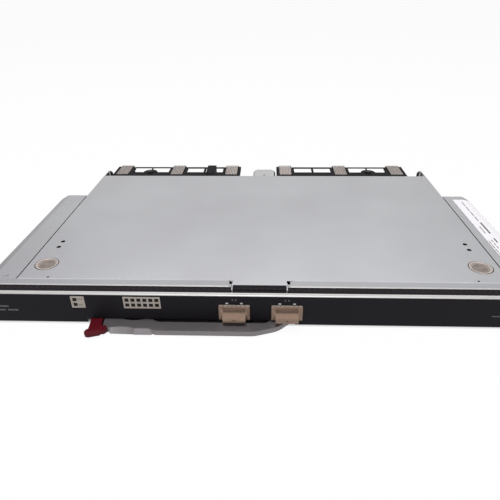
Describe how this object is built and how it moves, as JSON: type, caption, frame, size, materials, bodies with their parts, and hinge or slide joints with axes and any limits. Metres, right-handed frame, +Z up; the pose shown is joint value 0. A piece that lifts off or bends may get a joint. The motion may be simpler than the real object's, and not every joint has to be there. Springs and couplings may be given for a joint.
{
  "type": "blade chassis interconnect module",
  "caption": "Low, wide sheet-metal interconnect module with a black front panel, plugged link ports, an ejector lever with a release latch, and rear backplane connectors.",
  "frame": {"origin": "middle of the tray's underside", "axes": "+X to the right seen from the front panel, +Y from the front panel to the rear connectors, +Z up"},
  "size_m": [0.428, 0.2999, 0.0293],
  "materials": {
    "galvanised_steel": "satin",
    "panel_steel": "satin",
    "black_film": "matt",
    "gasket_foam": "matt",
    "window_plastic": "matt",
    "smoked_lens": "polished",
    "nickel_steel": "satin",
    "plug_plastic": "satin",
    "lever_plastic": "satin",
    "latch_plastic": "satin",
    "board_laminate": "satin",
    "chip_resin": "matt",
    "thermal_pad": "matt",
    "sink_aluminium": "satin",
    "connector_black": "matt",
    "wafer_plastic": "matt",
    "guide_casting": "satin",
    "label_film": "matt",
    "pale_lens": "satin",
    "black_steel": "satin"
  },
  "bodies": {
    "module": {"base_tray": "galvanised_steel", "top_cover": "galvanised_steel", "left_side_rail": "galvanised_steel", "right_side_rail": "galvanised_steel", "front_bezel": "panel_steel", "front_overlay": "black_film", "gasket_left": "gasket_foam", "gasket_centre": "gasket_foam", "gasket_right": "gasket_foam", "status_window": "window_plastic", "link_window": "window_plastic", "status_light_pipe": "smoked_lens", "link_light_pipe": "smoked_lens", "port_lamps": "pale_lens", "lever_bracket": "galvanised_steel", "lever_pivot_pin": "nickel_steel", "main_board": "board_laminate", "board_standoffs": "nickel_steel", "board_screws": "nickel_steel", "cover_stud_left": "nickel_steel", "cover_stud_right": "nickel_steel", "management_chip": "chip_resin", "connector_frame_left": "connector_black", "connector_frame_right": "connector_black", "frame_screws": "black_steel", "power_connector": "connector_black", "guide_block": "guide_casting", "wing_label": "label_film", "link_port_cage_1": "nickel_steel", "port_gasket_1": "nickel_steel", "port_header_1": "connector_black", "retimer_chip_1": "chip_resin", "thermal_pad_1": "thermal_pad", "heat_sink_1": "sink_aluminium", "link_port_cage_2": "nickel_steel", "port_gasket_2": "nickel_steel", "port_header_2": "connector_black", "retimer_chip_2": "chip_resin", "thermal_pad_2": "thermal_pad", "heat_sink_2": "sink_aluminium", "connector_housing_1": "connector_black", "connector_wafers_1": "wafer_plastic", "connector_housing_2": "connector_black", "connector_wafers_2": "wafer_plastic", "connector_housing_3": "connector_black", "connector_wafers_3": "wafer_plastic", "connector_housing_4": "connector_black", "connector_wafers_4": "wafer_plastic", "connector_housing_5": "connector_black", "connector_wafers_5": "wafer_plastic", "connector_housing_6": "connector_black", "connector_wafers_6": "wafer_plastic"},
    "lever": {"ejector_lever": "lever_plastic", "latch_pin": "nickel_steel", "latch_spring": "nickel_steel"},
    "latch": {"release_latch": "latch_plastic"},
    "plug_1": {"dust_plug_1": "plug_plastic"},
    "plug_2": {"dust_plug_2": "plug_plastic"}
  },
  "joints": [
    {"name": "lever_swing", "type": "hinge", "parent": "module", "child": "lever", "pos_m": [0.018, -0.1315, 0.00275], "axis": [0, 0, 1], "range_deg": [0, 55]},
    {"name": "latch_release", "type": "hinge", "parent": "lever", "child": "latch", "pos_m": [-0.116, -0.1506, 0.0043], "axis": [0, 0, -1], "range_deg": [0, 4], "stiffness_Nm_per_rad": 0.05},
    {"name": "dust_plug_1_pull", "type": "slide", "parent": "module", "child": "plug_1", "axis": [0, -1, 0], "range_m": [0, 0.03]},
    {"name": "dust_plug_2_pull", "type": "slide", "parent": "module", "child": "plug_2", "axis": [0, -1, 0], "range_m": [0, 0.03]}
  ]
}
